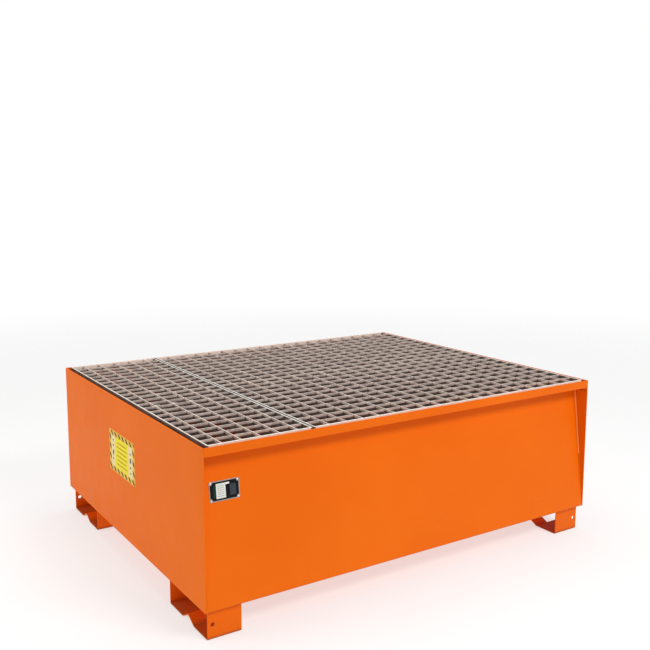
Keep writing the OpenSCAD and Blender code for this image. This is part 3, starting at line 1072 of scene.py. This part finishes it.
def make_placard():
    """Printed film with a hatched border, a bright middle panel with ruled lines and two pale
    columns with blank marks."""
    low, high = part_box("placard")
    width = high.y - low.y
    height = high.z - low.z
    place = Matrix.Translation((high.x, (low.y + high.y) / 2, (low.z + high.z) / 2)) @ Matrix((
        (0, 0, -1, 0), (-1, 0, 0, 0), (0, 1, 0, 0), (0, 0, 0, 1)))
    film = prism("placard_film", rounded_outline(width - 0.0004, height - 0.0004, 0.006),
                 0.0, 0.00034, YELLOW_FILM)
    soften(film, 0.0001, 1)
    baked(film)
    film.data.transform(place)
    finished(film, "tank", "placard_plastic", "placard")

    edge_x = width / 2 - PLACARD_MARGIN
    edge_y = height / 2 - PLACARD_MARGIN
    inner_x = edge_x - PLACARD_BORDER
    inner_y = edge_y - PLACARD_BORDER
    middle_x = inner_x - PLACARD_COLUMN
    panel_y = inner_y - 0.002
    blocks = hatch_stripes(width, edge_x, edge_y, inner_x, inner_y)
    blocks.append(prism("panel", rectangle(-middle_x, -panel_y, middle_x, panel_y),
                              0.0003, 0.00040, YELLOW_PANEL))
    marks = ((0.030, 0.010, 0.006), (0.006, 0.011, 0.017),
             (-0.020, 0.009, 0.007), (-0.040, 0.010, 0.005))
    for side in (-1, 1):
        left = side * (middle_x + PLACARD_COLUMN / 2) - PLACARD_COLUMN / 2 + 0.001
        outline = rectangle(left, -panel_y, left + PLACARD_COLUMN - 0.002, panel_y)
        blocks.append(prism(f"column_{side}", outline, 0.0003, 0.00039, CREAM_PANEL))
        middle = left + PLACARD_COLUMN / 2 - 0.001
        for k, (mark_y, mark_width, mark_height) in enumerate(marks):
            outline = rounded_outline(mark_width, mark_height, 0.0024, 4, (middle, side * mark_y))
            blocks.append(prism(f"mark_{side}_{k}", outline, 0.00038, 0.00045, HATCH_PRINT))
    for row in range(6):
        half_line = 0.053 if row % 2 else 0.046
        outline = rounded_outline(2 * half_line, 0.0045, 0.0018, 3, (0.0, 0.040 - 0.016 * row))
        blocks.append(prism(f"line_{row}", outline, 0.00039, 0.00045, OCHRE_PRINT))
    layer = joined("placard_print", blocks)
    layer.data.transform(place)
    finished(layer, "tank", "placard_plastic")


# ---- build

make_trough()
make_end_plate("left_end_sheet", "left_end_plate")
make_end_plate("right_end_sheet", "right_end_plate")
make_tank_welds()
make_ledge_fillets()
for foot in FEET:
    make_foot(*foot)
make_foot_welds()
make_channel("support_channel", "support_beam", False, 0.005, 6, ZINC_BEAM, "galvanised_steel")
for end in ("left", "right"):
    make_channel(f"{end}_beam_saddle", f"beam_seat_{end}", True, 0.0032, 5, ORANGE_SHADED_SUMP,
                 "orange_coating")
make_grating("small", 5)
make_grating("large", 18)
make_nameplate()
make_placard()


# ---- floor, light and camera

WHITE = (1.0, 1.0, 1.0)
SOFTBOXES = (  # name, position, target, size, power, colour
    ("key_box", (1.2, -4.4, 4.0), (0.0, -0.3, 0.3), (2.4, 1.2), 146, WHITE),
    ("left_box", (-4.4, 0.6, 2.3), (-0.8, 0.0, 0.3), (2.4, 1.4), 48, (1.0, 0.96, 0.86)),
    ("top_box", (0.0, 0.6, 4.2), (0.0, 0.0, 0.6), (3.2, 2.6), 55, WHITE),
)


def make_floor():
    """A pale floor that fades out into the pale surroundings and is clear from below."""
    rim = [(x, y, 0.0) for x, y in circle(9.0, 64)]
    floor = mesh_from("studio_floor", rim, [tuple(range(64))], outward=False)
    material, tree, shader, position = new_material("pale_floor")
    shade = ranged(tree, noise(tree, position, 0.8, 3.0), 0.3, 0.7)
    distance = node(tree, "ShaderNodeVectorMath", {0: position}, operation="LENGTH")
    faded = ranged(tree, distance.outputs["Value"], 2.2, 6.5, 1.0, 0.0)
    under = node(tree, "ShaderNodeNewGeometry").outputs["Backfacing"]
    feed(tree, shader, {
        "Base Color": blended(tree, shade, (0.38, 0.38, 0.38), (0.40, 0.40, 0.40)),
        "Roughness": 0.8,
        "Emission Color": WHITE,
        "Emission Strength": 0.60,
        "Specular IOR Level": 0.1,
        "Alpha": maths(tree, "SUBTRACT", faded, under, clamp=True),
    })
    floor.data.materials.append(material)


def make_softbox(name, position, target, size, power, colour):
    light = bpy.data.lights.new(name, "AREA")
    light.shape = "RECTANGLE"
    light.size, light.size_y = size
    light.energy = power
    light.color = colour
    lamp = bpy.data.objects.new(name, light)
    bpy.context.scene.collection.objects.link(lamp)
    lamp.location = position
    aim = Vector(target) - Vector(position)
    lamp.rotation_euler = aim.to_track_quat("-Z", "Y").to_euler()


def make_studio():
    """Soft even surroundings that look white, with boxes of light in front, left and above."""
    world = bpy.data.worlds.new("soft_studio")
    bpy.context.scene.world = world
    world.use_nodes = True
    tree = world.node_tree
    glow = tree.nodes["Background"]
    feed(tree, glow.inputs, {"Color": WHITE, "Strength": 0.5})
    backdrop = node(tree, "ShaderNodeBackground", {"Color": WHITE})
    seen = node(tree, "ShaderNodeLightPath").outputs["Is Camera Ray"]
    choice = node(tree, "ShaderNodeMixShader", {
        "Fac": seen, 1: glow.outputs[0], 2: backdrop.outputs[0]})
    feed(tree, tree.nodes["World Output"].inputs, {"Surface": choice.outputs[0]})
    for softbox in SOFTBOXES:
        make_softbox(*softbox)


def make_camera():
    camera = bpy.data.cameras.new("view_camera")
    camera.sensor_width = 36.0
    camera.lens = 48.1032
    camera.shift_x = 0.0159
    camera.shift_y = -0.0277
    camera.clip_end = 200.0
    holder = bpy.data.objects.new("view_camera", camera)
    bpy.context.scene.collection.objects.link(holder)
    yaw, pitch, roll = math.radians(32.547), math.radians(8.034), math.radians(-0.027)
    holder.rotation_euler = (Matrix.Rotation(-yaw, 3, "Z")
                             @ Matrix.Rotation(math.pi / 2 - pitch, 3, "X")
                             @ Matrix.Rotation(-roll, 3, "Z")).to_euler()
    holder.location = (-1.8578, -2.8824, 1.3631)
    bpy.context.scene.camera = holder


make_floor()
make_studio()
make_camera()
bpy.context.scene.view_settings.view_transform = "Standard"
